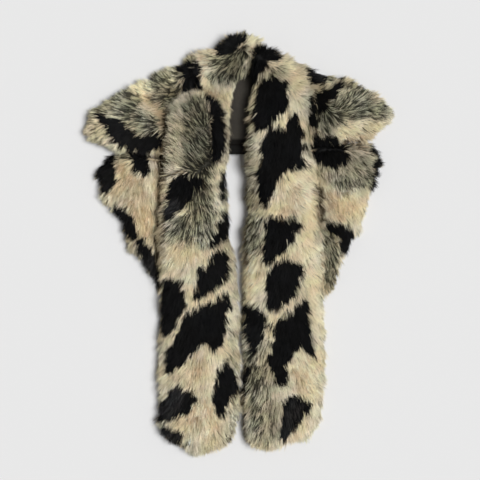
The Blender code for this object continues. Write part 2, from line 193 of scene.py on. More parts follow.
LAPPET_LEFT = Piece(
    "lappet_left",
    96000,
    [
        Stroke(208, 99, 3, 214, 103, 5),
        Stroke(215.5, 103, 5.5, 218.5, 130, 6),
        Stroke(218.5, 130, 6, 218, 148, 6),
        Stroke(218, 148, 6, 215.5, 160, 3),
        Stroke(223, 174, 2, 223, 196, 2.5),
        Stroke(181, 183, 6, 199, 184, 4.5),
        Stroke(181, 187, 10, 177, 201, 9.5),
        Stroke(187, 187, 8, 186, 196, 7),
        Stroke(176, 202, 8.5, 169, 213, 4.5),
        Stroke(225, 216, 3, 223, 232, 6),
        Stroke(222, 234, 6, 214, 243, 3),
        Stroke(220, 258, 7, 218, 271, 10),
        Stroke(218, 269, 10, 207, 283, 9),
        Stroke(207, 283, 8, 197, 296, 3),
        Stroke(202, 271, 3, 206, 279, 5),
        Stroke(172, 288, 9, 173, 305, 11.5),
        Stroke(171, 308, 10, 167, 328, 6),
        Stroke(225, 297, 3, 220, 312, 5),
        Stroke(221, 306, 8.5, 208, 315, 10),
        Stroke(206, 318, 13, 198, 330, 14),
        Stroke(214, 322, 12, 215, 343, 6),
        Stroke(192, 322, 8, 190, 334, 11),
        Stroke(190, 338, 11, 176, 356, 9),
        Stroke(176, 356, 8, 169, 369, 4),
        Stroke(227, 368, 4, 228, 386, 10),
        Stroke(221, 371, 2.5, 222, 384, 4),
        Stroke(226, 386, 10, 220, 398, 7),
        Stroke(221, 398, 6, 221, 410, 4),
        Stroke(178, 394.5, 8, 190, 399.5, 6),
        Stroke(181, 401.5, 11, 168, 409.5, 9),
        Stroke(168, 410.5, 7, 162, 417.5, 3),
        Stroke(165, 432, 5, 176, 438, 6),
    ],
    [
        Stroke(197.5, 111, 12, 199, 165, 15.5),
        Stroke(198, 175, 14, 202, 232, 13),
        Stroke(178, 222, 8, 194, 230, 9),
        Stroke(174, 233, 7, 196, 237, 7),
        Stroke(186, 441, 2, 190, 443, 2),
    ],
    [
        Stroke(176, 110, 5, 174, 170, 7),
        Stroke(222, 180, 3, 226, 212, 4),
        Stroke(232, 330, 3, 234, 420, 4),
    ],
    [
        Stroke(200, 360, 6, 195, 375, 5),
        Stroke(205, 405, 4, 215, 425, 4),
        Stroke(192, 410, 4, 198, 425, 5),
    ],
    [
        # Painted shade: the first two brown lines lie in the valley along the lappet's left edge
        Stroke(165, 112, 1.5, 166, 180, 2),
        Stroke(166, 215, 2, 164, 242, 1.5),
        Stroke(232, 430, 1.5, 229, 440, 1.5),
    ],
    [
        Nap(196, 93, -0.2, -1.0),
        Nap(183, 98, -0.8, -1.0),
        Nap(207, 97, 0.1, -1.0),
        Nap(174, 112, -1.0, -0.5),
        Nap(187, 118, -0.9, -0.8),
        Nap(202, 116, -0.6, -1.0),
        Nap(214, 100, 0.9, -0.6),
        Nap(219, 110, 0.9, 0.1),
        Nap(219, 125, 0.6, 1.0),
        Nap(171, 140, -1.0, -0.6),
        Nap(186, 145, -1.0, -1.0),
        Nap(203, 145, -0.7, -1.0),
        Nap(219, 150, 0.3, 1.0),
        Nap(168, 164, -1.0, -0.2),
        Nap(178, 168, -1.0, -0.8),
        Nap(188, 168, -0.9, -1.0),
        Nap(198, 167, -0.7, -1.0),
        Nap(206, 160, -0.6, -1.0),
        Nap(169, 178, -1.0, 0.2),
        Nap(182, 178, 0.2, 1.0),
        Nap(192, 178, 0.4, 1.0),
        Nap(202, 177, 0.5, 1.0),
        Nap(210, 171, 0.5, 1.0),
        Nap(217, 164, 0.5, 1.0),
        Nap(224, 176, 0.7, 1.0),
        Nap(168, 190, -1.0, 0.3),
        Nap(184, 190, -0.3, 1.0),
        Nap(202, 192, 0.3, 1.0),
        Nap(218, 200, 0.7, 1.0),
        Nap(168, 222, -1.0, 0.7),
        Nap(182, 215, -1.0, 0.7),
        Nap(192, 222, -0.1, 1.0),
        Nap(206, 222, 0.35, 1.0),
        Nap(220, 225, 0.4, 1.0),
        Nap(164, 262, -0.8, 1.0),
        Nap(180, 262, -0.5, 1.0),
        Nap(195, 262, -0.1, 1.0),
        Nap(212, 255, 0.3, 1.0),
        Nap(230, 258, 0.6, 1.0),
        Nap(164, 310, -0.5, 1.0),
        Nap(190, 305, -0.2, 1.0),
        Nap(210, 300, 0.1, 1.0),
        Nap(234, 310, 0.5, 1.0),
        Nap(164, 360, -0.6, 1.0),
        Nap(185, 362, -0.5, 1.0),
        Nap(205, 360, 0.0, 1.0),
        Nap(234, 350, 0.6, 1.0),
        Nap(163, 410, -0.6, 1.0),
        Nap(185, 410, -0.5, 1.0),
        Nap(205, 410, 0.1, 1.0),
        Nap(234, 400, 0.5, 1.0),
        Nap(168, 442, -0.4, 1.0),
        Nap(198, 450, 0.1, 1.0),
        Nap(230, 438, 0.5, 1.0),
    ],
    (0.280, 0.735),
)
LAPPET_RIGHT = Piece(
    "lappet_right",
    99000,
    [
        Stroke(256, 53, 8, 266, 54, 8.5),
        Stroke(266, 54, 8, 275, 57, 4.5),
        Stroke(257, 61, 9, 253, 73, 6),
        Stroke(264, 60, 7, 261, 64, 6),
        Stroke(252, 74, 5.5, 250, 84, 2.5),
        Stroke(269, 91, 11, 276, 91, 10),
        Stroke(271, 97, 14, 272.5, 102, 14.5),
        Stroke(269.5, 104, 14, 262, 121, 9),
        Stroke(264, 120, 8, 259, 127, 4),
        Stroke(293, 117, 2.5, 293, 132, 7),
        Stroke(300, 134, 3, 291, 141, 9),
        Stroke(277, 143, 13, 290, 147, 12),
        Stroke(275, 152, 14, 287, 158, 12),
        Stroke(289, 161, 10, 303, 164, 3),
        Stroke(302, 149, 3, 293, 151, 7),
        Stroke(275, 164, 13, 267, 176, 10),
        Stroke(267, 176, 10, 265, 192, 6.5),
        Stroke(265, 192, 6.5, 264, 202, 3.5),
        Stroke(274, 227, 8, 292, 227, 7),
        Stroke(279, 236, 13, 273, 247, 9),
        Stroke(271, 251, 7, 267, 259, 4),
        Stroke(285, 270, 9, 296, 271, 7),
        Stroke(283, 279, 16, 281, 288, 14),
        Stroke(279, 292, 13, 274, 302, 7),
        Stroke(249, 309, 5, 257, 319, 8),
        Stroke(254, 323, 9, 254, 336, 8),
        Stroke(254, 337, 7, 254, 349, 3),
        Stroke(258, 327, 4, 269, 325, 1.5),
        Stroke(304, 304, 4, 300, 316, 9),
        Stroke(294, 326, 14, 291, 336, 13),
        Stroke(303, 330, 7, 306, 342, 6),
        Stroke(306, 342, 6, 312, 354, 2.5),
        Stroke(286, 341, 11, 279, 360, 9),
        Stroke(281, 326, 5, 281, 345, 6),
        Stroke(278, 360, 9, 281, 379, 5),
        Stroke(247.5, 368, 1.5, 244.5, 392, 1.8),
        Stroke(292, 405, 8, 304, 406, 7),
        Stroke(294, 412, 9.5, 290, 421, 7.5),
        Stroke(289, 422, 6, 284, 436, 3),
    ],
    [
        Stroke(254, 222, 6, 254, 246, 7),
        Stroke(250, 352, 5, 254, 385, 8),
        Stroke(253, 395, 4, 256, 425, 5),
    ],
    [
        Stroke(248, 92, 4, 250, 210, 6),
        Stroke(250, 210, 5, 249, 262, 4),
        Stroke(258, 385, 9, 264, 432, 14),
        Stroke(264, 345, 5, 268, 385, 6),
        Stroke(258, 75, 4, 280, 71, 3),
    ],
    [
        Stroke(246, 200, 3, 246, 300, 4),
        Stroke(295, 195, 8, 290, 210, 6),
        Stroke(316, 186, 2, 321, 222, 2),
        Stroke(300, 375, 6, 300, 390, 5),
    ],
    [
        # Painted shade: these brown lines lie in the valleys at the lappet's edges and in the gap between
        # the lappets; along its left edge the coat's tips are also brown
        Stroke(246, 95, 1.5, 246, 262, 2.5),
        Stroke(243, 290, 1, 244, 440, 1.5),
        Stroke(317, 187, 3, 320.5, 208, 4.5),
        Stroke(320.5, 208, 4, 320.5, 226, 2),
        Stroke(312, 98, 2, 314, 128, 2),
    ],
    [
        Nap(254, 48, -0.4, -0.8),
        Nap(266, 48, 0.3, -0.9),
        Nap(282, 60, 0.7, -0.8),
        Nap(294, 63, 0.8, -0.7),
        Nap(272, 62, 1.0, 0.2),
        Nap(255, 66, -0.3, 1.0),
        Nap(266, 74, 0.2, 1.0),
        Nap(250, 88, -0.7, 1.0),
        Nap(249, 110, -1.0, 0.6),
        Nap(249, 135, -1.0, 0.6),
        Nap(249, 165, -1.0, 0.2),
        Nap(250, 190, -0.6, 1.0),
        Nap(249, 215, -0.5, 1.0),
        Nap(249, 250, -0.6, 1.0),
        Nap(248, 290, -0.7, 1.0),
        Nap(248, 340, -0.9, 0.9),
        Nap(250, 390, -0.7, 1.0),
        Nap(252, 430, -0.5, 1.0),
        Nap(288, 68, 1.0, 0.4),
        Nap(278, 80, 0.8, 1.0),
        Nap(302, 68, 1.0, -0.2),
        Nap(300, 88, 1.0, -0.2),
        Nap(288, 95, 0.2, 1.0),
        Nap(270, 125, -0.1, 1.0),
        Nap(290, 115, 0.0, 1.0),
        Nap(302, 115, 0.5, 1.0),
        Nap(275, 160, -0.1, 1.0),
        Nap(298, 145, -0.3, 1.0),
        Nap(309, 160, 0.9, 0.7),
        Nap(300, 183, 1.0, 0.6),
        Nap(270, 200, -0.3, 1.0),
        Nap(288, 200, 0.45, 1.0),
        Nap(300, 210, 0.6, 1.0),
        Nap(314, 205, 0.9, 1.0),
        Nap(278, 250, -0.15, 1.0),
        Nap(300, 255, 0.55, 1.0),
        Nap(314, 250, 0.9, 1.0),
        Nap(280, 310, -0.1, 1.0),
        Nap(300, 300, 0.5, 1.0),
        Nap(318, 315, 0.7, 1.0),
        Nap(265, 360, -0.2, 1.0),
        Nap(276, 385, 0.2, 1.0),
        Nap(300, 375, 0.4, 1.0),
        Nap(316, 375, 0.8, 1.0),
        Nap(264, 410, -0.4, 1.0),
        Nap(280, 420, 0.1, 1.0),
        Nap(300, 410, 0.1, 1.0),
        Nap(315, 425, 0.3, 1.0),
        Nap(275, 440, -0.1, 1.0),
    ],
    (0.288, 0.812),
)
SHOULDER_LEFT = Piece(
    "shoulder_left",
    46000,
    [
        Stroke(181, 68, 3.5, 192, 67, 5),
        Stroke(191, 68, 6.5, 190, 91, 7),
        Stroke(98, 114, 2, 106, 119, 3),
        Stroke(110, 124, 4, 121, 127, 6),
        Stroke(111, 127, 5, 116, 132, 7),
        Stroke(117, 133, 8, 128, 138, 8.5),
        Stroke(128, 139, 8, 144, 146, 8),
        Stroke(142, 145, 8, 156, 141, 6),
    ],
    [
        Stroke(157, 84, 8, 170, 92, 13),
        Stroke(160, 77, 6, 179, 75, 6),
        Stroke(156, 96, 5, 164, 106, 4),
        Stroke(102, 112, 7, 128, 104, 14),
        Stroke(124, 108, 12, 150, 127, 9),
    ],
    [Stroke(90, 117, 5, 103, 140, 7)],
    [Stroke(156, 106, 4, 163, 120, 6), Stroke(144, 94, 2, 154, 104, 3)],
    # Painted shade: a brown line in the valley beside the left lappet's edge
    [Stroke(167, 98, 2, 165, 136, 3)],
    [
        Nap(190, 62, -1.0, -0.5),
        Nap(190, 82, -0.3, 1.0),
        Nap(170, 72, -1.0, -0.6),
        Nap(158, 82, -1.0, -0.9),
        Nap(170, 90, -1.0, -0.6),
        Nap(138, 92, -1.0, -0.8),
        Nap(160, 102, -0.9, 0.3),
        Nap(146, 104, -1.0, -0.4),
        Nap(128, 102, -1.0, -0.5),
        Nap(112, 106, -1.0, -0.3),
        Nap(98, 114, -1.0, 0.0),
        Nap(116, 118, -1.0, -0.1),
        Nap(135, 116, -1.0, 0.1),
        Nap(150, 118, -1.0, -0.4),
        Nap(150, 132, -0.9, 0.5),
        Nap(96, 128, -1.0, 0.4),
        Nap(97, 138, -1.0, 0.8),
        Nap(110, 138, -1.0, 0.6),
        Nap(126, 142, -0.5, 1.0),
        Nap(145, 148, -0.3, 1.0),
        Nap(162, 148, -0.1, 1.0),
    ],
    (0.290, 0.222),
)
NAPE_COLLAR = Piece(
    "nape_collar",
    34000,
    [
        Stroke(242, 38.5, 3.5, 233, 42.5, 6.5),
        Stroke(232, 44.5, 6.5, 219, 51.5, 3),
        Stroke(197, 66, 3, 196, 86, 3.5),
    ],
    [
        Stroke(217, 62, 9, 238, 60, 11),
        Stroke(216, 74, 7, 234, 74, 8),
        Stroke(243, 50, 3, 245, 66, 4),
    ],
    [],
    [Stroke(204, 58, 3, 204, 72, 3)],
    [],
    [
        Nap(243, 36, 0.3, -0.9),
        Nap(251, 40, 1.0, -0.1),
        Nap(228, 42, -0.5, -0.8),
        Nap(215, 50, -0.9, -0.5),
        Nap(200, 56, -1.0, -0.6),
        Nap(226, 55, -1.0, 0.4),
        Nap(214, 66, -1.0, 0.15),
        Nap(198, 66, -1.0, -0.5),
        Nap(204, 80, 0.05, 1.0),
        Nap(240, 58, -0.4, 1.0),
        Nap(230, 68, -0.5, 0.6),
        Nap(217, 80, 0.3, 1.0),
        Nap(229, 82, 0.4, 1.0),
        Nap(240, 80, -0.5, 1.0),
        Nap(208, 92, 0.8, 0.5),
        Nap(220, 98, 0.6, 1.0),
        Nap(228, 112, 0.2, 1.0),
        Nap(228, 135, 0.1, 1.0),
    ],
    (0.170, 0.245),
)
SHOULDER_RIGHT = Piece(
    "shoulder_right",
    50000,
    [
        Stroke(310, 75, 6, 322, 77, 5.5),
        Stroke(341, 79, 1.5, 337, 89, 2),
        Stroke(334, 92, 4, 323, 98, 7),
        Stroke(322, 99, 7, 321, 108, 4),
        Stroke(306, 97, 1.5, 312, 105, 2),
        Stroke(312, 109, 3.5, 313, 124, 4),
        Stroke(316, 139, 3.5, 334, 141, 3.5),
    ],
    [
        Stroke(330, 112, 14, 358, 102, 15),
        Stroke(360, 105, 15, 380, 111, 9),
        Stroke(320, 116, 8, 326, 127, 6),
        Stroke(330, 82, 3, 362, 90, 6),
    ],
    [],
    # Painted shade: the tan and brown lines at the seam under this piece's edge, and the first brown one in
    # the valley beside the right lappet
    [Stroke(346, 140, 3, 362, 138, 3)],
    [Stroke(312, 98, 2, 315, 135, 2), Stroke(345, 141, 1.5, 358, 140, 1.5)],
    [
        Nap(312, 75, 1.0, 0.1),
        Nap(326, 80, 1.0, 0.2),
        Nap(326, 94, 1.0, -0.5),
        Nap(337, 92, 0.6, -0.8),
        Nap(348, 88, 0.8, -0.7),
        Nap(362, 92, 0.9, -0.6),
        Nap(336, 104, 0.6, -0.8),
        Nap(348, 104, 0.6, -0.9),
        Nap(362, 104, 1.0, -0.3),
        Nap(376, 100, 1.0, -0.1),
        Nap(350, 115, 1.0, -0.5),
        Nap(372, 114, 1.0, 0.4),
        Nap(386, 112, 1.0, 0.3),
        Nap(314, 108, 0.1, 1.0),
        Nap(322, 116, 0.3, 1.0),
        Nap(326, 126, 0.8, 1.0),
        Nap(348, 126, 1.0, 0.1),
        Nap(362, 128, 1.0, 0.6),
        Nap(374, 126, 1.0, 0.5),
        Nap(318, 136, 0.6, 1.0),
        Nap(336, 138, 0.6, 1.0),
        Nap(350, 140, 0.2, 1.0),
        Nap(362, 139, 0.3, 1.0),
    ],
    (0.310, 0.238),
)
LAPEL_LEFT = Piece(
    "lapel_left",
    46000,
    [
        Stroke(112, 156, 4.5, 105, 167, 8),
        Stroke(105, 169, 9, 107, 181, 7),
        Stroke(107, 181, 6, 105, 190, 2.5),
        Stroke(136, 150, 9, 140, 160, 8),
        Stroke(141, 160, 8, 143, 171, 4.5),
        Stroke(118, 209, 3, 126, 217, 6),
        Stroke(126, 218, 6.5, 133, 234, 4),
        Stroke(141, 244, 4, 147, 254, 6),
        Stroke(147, 254, 6, 153, 268, 5.5),
        Stroke(153, 268, 5, 158, 281, 4),
    ],
    [Stroke(118, 152, 4, 126, 156, 4)],
    [],
    [
        Stroke(160, 155, 4, 161, 250, 4),
        Stroke(122, 168, 4, 140, 188, 4),
        Stroke(128, 200, 3, 134, 216, 3),
        Stroke(146, 215, 5, 148, 235, 4),
        Stroke(118, 190, 3, 112, 194, 3),
    ],
    # Painted shade: brown lines in the valley along the left lappet's edge
    [Stroke(163, 142, 3, 162, 210, 4.5), Stroke(161, 210, 5, 157, 285, 4.5)],
    [
        Nap(125, 152, -0.8, 0.8),
        Nap(112, 158, -1.0, 0.5),
        Nap(102, 170, -1.0, 0.4),
        Nap(105, 188, -0.8, 0.8),
        Nap(125, 175, -0.4, 1.0),
        Nap(142, 160, -0.5, 1.0),
        Nap(155, 165, -0.1, 1.0),
        Nap(120, 198, -0.6, 1.0),
        Nap(145, 195, 0.0, 1.0),
        Nap(158, 200, 0.0, 1.0),
        Nap(125, 215, -0.5, 1.0),
        Nap(145, 225, 0.0, 1.0),
        Nap(135, 240, -0.4, 1.0),
        Nap(152, 262, -0.3, 1.0),
        Nap(158, 285, -0.2, 1.0),
    ],
    (0.300, 0.262),
)
LAPEL_RIGHT = Piece(
    "lapel_right",
    50000,
    [
        Stroke(320, 144, 8, 340, 147, 8),
        Stroke(322, 152, 8, 327, 157, 8),
        Stroke(331, 151, 13, 335, 154, 12),
        Stroke(374, 146, 1.5, 378, 156, 2.5),
        Stroke(378, 157, 3, 377.5, 178, 3.5),
        Stroke(376, 179, 3, 372, 188, 2),
        Stroke(330, 226, 3.5, 344, 232, 5.5),
        Stroke(346, 236, 7, 346, 248, 5.5),
    ],
    [
        Stroke(379, 150, 2, 373, 176, 5),
        Stroke(368, 180, 5, 342, 187, 4),
        Stroke(330, 234, 6, 332, 280, 7),
    ],
    [
        Stroke(352, 144, 4, 372, 152, 6),
        Stroke(354, 164, 12, 362, 170, 12),
        Stroke(322, 174, 4, 342, 178, 9),
    ],
    [
        Stroke(332, 198, 6, 336, 214, 7),
        # Painted shade: the next two tan lines lie at the seam under the right shoulder and in the valley
        # beside the right lappet
        Stroke(350, 141, 3, 362, 146, 4),
        Stroke(324, 235, 2, 326, 285, 3),
    ],
    # Painted shade: a brown line in the valley beside the right lappet
    [Stroke(320, 188, 2.5, 322, 220, 2.5)],
    [
        Nap(318, 145, 0.0, 1.0),
        Nap(333, 160, 0.1, 1.0),
        Nap(320, 172, 0.4, 1.0),
        Nap(336, 174, 0.1, 1.0),
        Nap(348, 162, 0.8, 1.0),
        Nap(348, 174, 0.6, 1.0),
        Nap(350, 150, 1.0, 0.6),
        Nap(360, 160, 1.0, 0.7),
        Nap(366, 150, 1.0, 0.4),
        Nap(374, 163, 1.0, -0.1),
        Nap(372, 175, 1.0, 0.9),
        Nap(360, 180, 0.6, 1.0),
        Nap(346, 186, 0.25, 1.0),
        Nap(336, 190, 0.3, 1.0),
        Nap(324, 196, 1.0, 1.0),
        Nap(368, 196, 0.6, 1.0),
        Nap(338, 204, 0.25, 1.0),
        Nap(352, 208, 0.3, 1.0),
        Nap(324, 212, 0.8, 1.0),
        Nap(328, 234, 0.7, 1.0),
        Nap(346, 238, 0.2, 1.0),
        Nap(336, 248, 0.7, 1.0),
        Nap(334, 260, 0.25, 1.0),
        Nap(328, 280, 0.35, 1.0),
    ],
    (0.345, 0.297),
)
BACK_YOKE = Piece(
    "back_yoke",
    5000,
    [Stroke(200, 60, 12, 236, 40, 10), Stroke(215, 110, 40, 240, 150, 40)],
    [],
    [],
    [],
    [],
    [Nap(200, 60, -0.6, -1.0), Nap(245, 40, 0.3, -1.0), Nap(238, 150, 0.0, 1.0)],
    (0.248, 0.227),
)
# Where the coat is lighter, darker or warmer: mostly its own tone, and painted shade where marked below
SHADES = (
    Shade(193, 107, 10, 198, 158, 14, 0.63),
    Shade(175, 112, 5, 175, 160, 5, 0.92, 0.04),
    # Painted shadow round the tongue's rounded top, on the shoulder and the nape: the next two
    Shade(172, 94, 3.5, 182, 89, 3, 0.68, 0.14),
    Shade(203, 88, 2, 212, 94, 2, 0.74, 0.14),
    Shade(203, 82, 6, 214, 95, 6, 1.02, 0.09),
    Shade(176, 216, 8, 188, 222, 8, 0.92),
    Shade(196, 228, 10, 204, 238, 8, 1.12),
    Shade(238, 52, 8, 228, 74, 10, 0.53),
    Shade(213, 92, 8, 226, 128, 6, 0.84),
    Shade(135, 89, 5, 142, 98, 5, 1.06, 0.04),
    Shade(147, 103, 6, 158, 120, 6, 0.76, 0.12),
    # Painted shade: a dark line on the shoulder beside the left lappet's edge
    Shade(162, 104, 2.5, 165, 134, 2.5, 0.66, 0.10),
    Shade(104, 104, 8, 150, 82, 8, 1.16),
    Shade(158, 76, 6, 178, 74, 6, 1.2),
    Shade(216, 198, 6, 220, 222, 6, 1.14),
    Shade(360, 102, 12, 374, 110, 8, 1.12),
    Shade(320, 112, 6, 328, 130, 6, 0.82),
    Shade(148, 172, 7, 149, 190, 7, 0.90),
    Shade(118, 172, 14, 134, 202, 14, 0.84, 0.08),
    Shade(140, 200, 10, 148, 240, 10, 1.0, 0.10),
    Shade(130, 222, 8, 140, 250, 8, 0.76, 0.04),
    Shade(262, 75, 5, 280, 73, 6, 0.78),
    Shade(303, 68, 6, 316, 92, 6, 0.70, 0.06),
    Shade(210, 104, 5, 214, 112, 5, 0.74),
    Shade(184, 216, 7, 200, 238, 8, 1.20),
    Shade(178, 254, 8, 200, 262, 9, 0.92, 0.05),
    Shade(250, 206, 5, 249, 296, 5, 1.34),
    Shade(290, 84, 7, 302, 92, 7, 0.88),
    Shade(188, 420, 10, 212, 432, 10, 0.99, 0.06),
    # Painted shade in the valleys beside the lappets: along the left one, at the right one's right edge,
    # and between it and the right shoulder
    Shade(161.5, 150, 2.5, 159, 270, 2.5, 0.72, 0.18),
    Shade(317, 190, 2.5, 320.5, 226, 2.5, 0.66, 0.10),
    Shade(309, 92, 3, 309, 130, 3, 0.70),
    Shade(248, 130, 6, 252, 162, 8, 0.80),
    Shade(328, 172, 9, 362, 168, 12, 0.72),
    Shade(350, 150, 5, 362, 158, 7, 0.78),
    Shade(330, 200, 8, 346, 208, 12, 0.97, 0.11),
    Shade(190, 366, 12, 194, 388, 14, 0.94, 0.04),
    Shade(292, 188, 8, 308, 206, 10, 1.10),
    Shade(306, 246, 7, 308, 280, 6, 1.06),
    Shade(256, 296, 6, 262, 304, 5, 0.86),
    Shade(270, 348, 7, 268, 385, 7, 0.82),
    Shade(276, 405, 6, 278, 430, 6, 0.62),
    Shade(246, 408, 3, 246, 432, 3, 0.82),
    Shade(228, 430, 8, 210, 448, 8, 0.88),
    Shade(176, 378, 8, 180, 386, 6, 0.86),
    Shade(178, 426, 6, 184, 432, 6, 0.86),
    Shade(180, 282, 5, 182, 290, 4, 0.86),
    Shade(298, 300, 8, 306, 318, 6, 0.86),
)
# Where the black is mixed with grey
FADED = (
    Stroke(178, 394, 8, 168, 410, 8),
    Stroke(165, 432, 5, 176, 438, 6),
    Stroke(296, 408, 8, 286, 430, 6),
    Stroke(308, 73, 5, 322, 77, 4),
    Stroke(152, 262, 6, 158, 281, 5),
    Stroke(168, 208, 5, 176, 204, 4),
)
# Where wisps of the cream coat differ most in how light they are
UNEVEN = (
    Stroke(112, 172, 18, 148, 230, 16),
    Stroke(170, 252, 12, 220, 250, 8),
    Stroke(178, 372, 14, 204, 435, 20),
    Stroke(332, 170, 14, 344, 230, 14),
    Stroke(300, 362, 8, 308, 392, 8),
    Stroke(232, 330, 5, 232, 430, 6),
)
PIECES = (
    BACK_YOKE,
    NAPE_COLLAR,
    SHOULDER_LEFT,
    SHOULDER_RIGHT,
    LAPEL_LEFT,
    LAPEL_RIGHT,
    LAPPET_LEFT,
    LAPPET_RIGHT,
)


def to_view(points):
    """View units of points in the frame."""
    x = points[:, 0] / VIEW_UNIT + VIEW_MIDDLE[0]
    y = VIEW_MIDDLE[1] - points[:, 1] / VIEW_UNIT
    return np.stack([x, y], axis=1)


def from_view(x, y):
    """The frame's place of a point of the view."""
    return (x - VIEW_MIDDLE[0]) * VIEW_UNIT, (VIEW_MIDDLE[1] - y) * VIEW_UNIT


def unit(vectors):
    """Vectors of the same directions, 1 long."""
    length = np.linalg.norm(vectors, axis=1, keepdims=True)
    return vectors / np.maximum(length, 1e-9)


def ramp(values, low, high):
    """0 below low, 1 above high, and smooth between."""
    share = np.clip((values - low) / (high - low), 0.0, 1.0)
    return share * share * (3 - 2 * share)


def waves(places, size, seed, terms=9):
    """Smooth noise from -1 to 1 over plan places, with features of about a size."""
    rng = np.random.default_rng(seed)
    total = np.zeros(len(places))
    for _ in range(terms):
        angle = rng.uniform(0, 2 * math.pi)
        pace = 2 * math.pi / (size * rng.uniform(0.8, 1.9))
        phase = rng.uniform(0, 2 * math.pi)
        along = places[:, 0] * math.cos(angle) + places[:, 1] * math.sin(angle)
        total += np.sin(along * pace + phase)
    return np.clip(total / (0.75 * terms**0.5 * 1.4), -1.0, 1.0)


# ---------------------------------------------------------------- markings and nap


def inside(strokes, places):
    """How far places in the view are inside a set of strokes: less than 0 outside."""
    best = np.full(len(places), -99.0)
    for s in strokes:
        run = np.array([s.x2 - s.x1, s.y2 - s.y1])
        share = (places - (s.x1, s.y1)) @ run / max(run @ run, 1e-9)
        share = np.clip(share, 0.0, 1.0)
        away = np.linalg.norm(places - (s.x1, s.y1) - share[:, None] * run, axis=1)
        best = np.maximum(best, s.r1 + (s.r2 - s.r1) * share - away)
    return best


def gain_at(places):
    """How light the coat is at places in the view, for each colour, with the painted shade among SHADES."""
    gain = np.ones((len(places), 3))
    for shade in SHADES:
        full = shade.gain * np.array((1, 1 - 0.45 * shade.warm, 1 - shade.warm))
        gain *= 1 + (full - 1) * ramp(inside([shade], places), -6, 3)[:, None]
    return gain


def nap_at(piece, places):
    """The nap's direction in plan at places in the view, and how firmly it lies: 0 at a parting."""
    total = np.zeros((len(places), 2))
    weights = np.zeros(len(places))
    for n in piece.nap:
        away = (places[:, 0] - n.x) ** 2 + (places[:, 1] - n.y) ** 2
        weight = 1.0 / (away + NAP_NEAR) ** 2
        length = math.hypot(n.dx, n.dy)
        total += weight[:, None] * (n.dx / length, -n.dy / length)
        weights += weight
    firm = ramp(np.linalg.norm(total, axis=1) / weights, 0.0, NAP_FIRM)
    return np.hstack([unit(total), np.zeros((len(places), 1))]), firm


def over_edge(nap, out):
    """A level nap carried over a curved surface: it runs down where the surface turns down."""
    turn = np.stack([-out[:, 1], out[:, 0], np.zeros(len(out))], axis=1)
    up = out[:, 2:3]
    lean = (turn * nap).sum(1, keepdims=True)
    return unit(nap * up + np.cross(turn, nap) + turn * lean / (1.0 + np.maximum(up, -0.6)))


# ---------------------------------------------------------------- meshes


def smooth_copy(solid):
    """A node's solid as an even mesh: its points, its four-sided faces and its normals."""
    form = bmesh.new()
    form.from_mesh(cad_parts[solid].data)
    bmesh.ops.remove_doubles(form, verts=form.verts, dist=1e-5)
    mesh = bpy.data.meshes.new("even")
    form.to_mesh(mesh)
    form.free()
    held = bpy.data.objects.new("even", mesh)
    bpy.context.scene.collection.objects.link(held)
    remesh = held.modifiers.new("remesh", "REMESH")
    remesh.mode = "VOXEL"
    remesh.voxel_size = PELT_VOXEL if solid != "back_yoke" else YOKE_VOXEL
    soften = held.modifiers.new("soften", "SMOOTH")
    soften.factor = 0.5
    soften.iterations = 4
    graph = bpy.context.evaluated_depsgraph_get()
    even = bpy.data.meshes.new_from_object(held.evaluated_get(graph))
    points = np.empty(len(even.vertices) * 3)
    even.vertices.foreach_get("co", points)
    faces = np.array([tuple(p.vertices) for p in even.polygons])
    normals = np.empty(len(even.vertices) * 3)
    even.vertices.foreach_get("normal", normals)
    bpy.data.objects.remove(held)
    return points.reshape(-1, 3), faces, normals.reshape(-1, 3)


def pelt_of(piece):
    """Points, faces and normals of the pelt's outer side, a pile's depth inside the solid."""
    points, faces, normals = smooth_copy(piece.node)
    tree = BVHTree.FromPolygons(points.tolist(), faces.tolist())
    thick = np.full(len(points), DEEPEST)
    for i in range(len(points)):
        start = Vector(points[i] - normals[i] * 0.5 * MM)
        hit = tree.ray_cast(start, Vector(-normals[i]), 0.1)
        if hit[0] is not None:
            thick[i] = hit[3]
    rests = np.clip((-normals[:, 2] - 0.3) / 0.5, 0.0, 1.0)
    inset = np.minimum(PILE_DEEP, PILE_SHARE * thick) * (1 - rests) + PELT_REST * rests
    wave = 1.0 + 0.25 * waves(points[:, :2], *DEPTH_WAVE)
    points = points - normals * (inset * wave)[:, None]
    points[:, 2] = np.maximum(points[:, 2], PELT_REST)
    return points, faces, normals


def mesh_from(name, points, faces):
    """A mesh from arrays of points and of equally long faces."""
    mesh = bpy.data.meshes.new(name)
    count, corners = faces.shape
    mesh.vertices.add(len(points))
    mesh.vertices.foreach_set("co", points.astype(np.float32).ravel())
    mesh.loops.add(count * corners)
    mesh.loops.foreach_set("vertex_index", faces.astype(np.int32).ravel())
    mesh.polygons.add(count)
    mesh.polygons.foreach_set("loop_start", np.arange(0, count * corners, corners, dtype=np.int32))
    mesh.update(calc_edges=True)
    mesh.shade_smooth()
    return mesh


def paint(mesh, colours):
    """Gives every point of a mesh its colour."""
    layer = mesh.color_attributes.new("pile", "FLOAT_COLOR", "POINT")
    full = np.hstack([colours, np.ones((len(colours), 1))])
    layer.data.foreach_set("color", full.astype(np.float32).ravel())


def place(name, mesh, material):
    """Links a mesh as a piece on the body."""
    mesh.materials.append(material)
    made = bpy.data.objects.new(name, mesh)
    bpy.context.scene.collection.objects.link(made)
    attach(made, "root")
    return made


# ---------------------------------------------------------------- fur


def openness(tree, places, normals):
    """The share of the sky that each place sees past the pelts, and 0 on undersides."""
    rays = []
    for tilt, turn in RAYS:
        x, y = math.sin(tilt) * math.cos(turn), math.sin(tilt) * math.sin(turn)
        rays.append(Vector((x, y, math.cos(tilt))))
    share = np.zeros(len(places))
    starts = places + normals * RAY_START
    for i in np.flatnonzero(normals[:, 2] > FACES_DOWN):
        start = Vector(starts[i])
        share[i] = sum(tree.ray_cast(start, ray, RAY_LONG)[0] is None for ray in rays)
    return share / len(rays)


